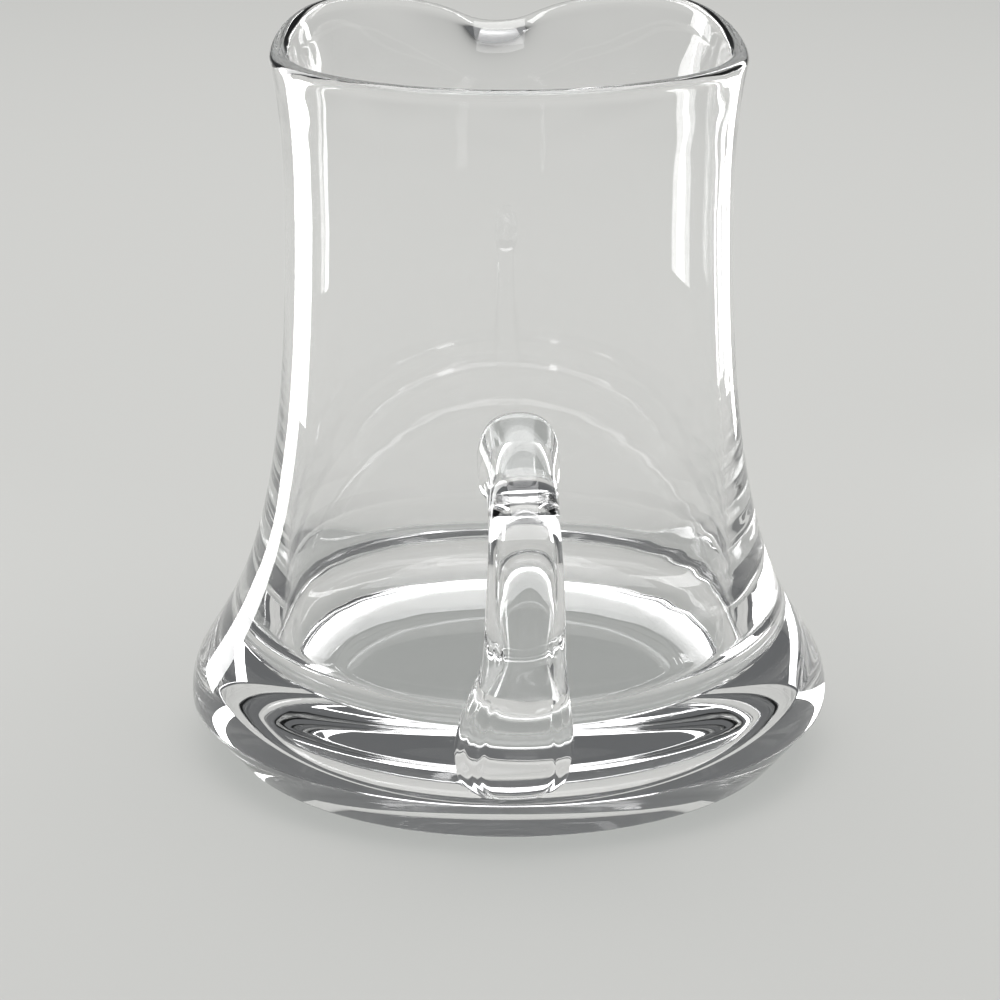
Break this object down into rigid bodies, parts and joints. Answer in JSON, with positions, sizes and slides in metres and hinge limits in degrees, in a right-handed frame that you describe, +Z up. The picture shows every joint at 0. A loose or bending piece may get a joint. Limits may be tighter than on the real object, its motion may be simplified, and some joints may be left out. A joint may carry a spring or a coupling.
{
  "type": "beer pitcher",
  "caption": "Heavy clear glass beer pitcher: thick flared foot, near-straight wall, rounded rim with a bent pouring lip, and a solid glass handle fused low on the back.",
  "frame": {"origin": "centre of the flat polished underside, on the axis of the body at table height", "axes": "+Z up along the axis of the body, +Y towards the pouring lip, -Y towards the handle, X across"},
  "size_m": [0.17, 0.1843, 0.1928],
  "materials": {
    "clear_glass": "fire-polished, colourless"
  },
  "bodies": {
    "root": {"body": "clear_glass", "handle": "clear_glass"}
  },
  "joints": []
}
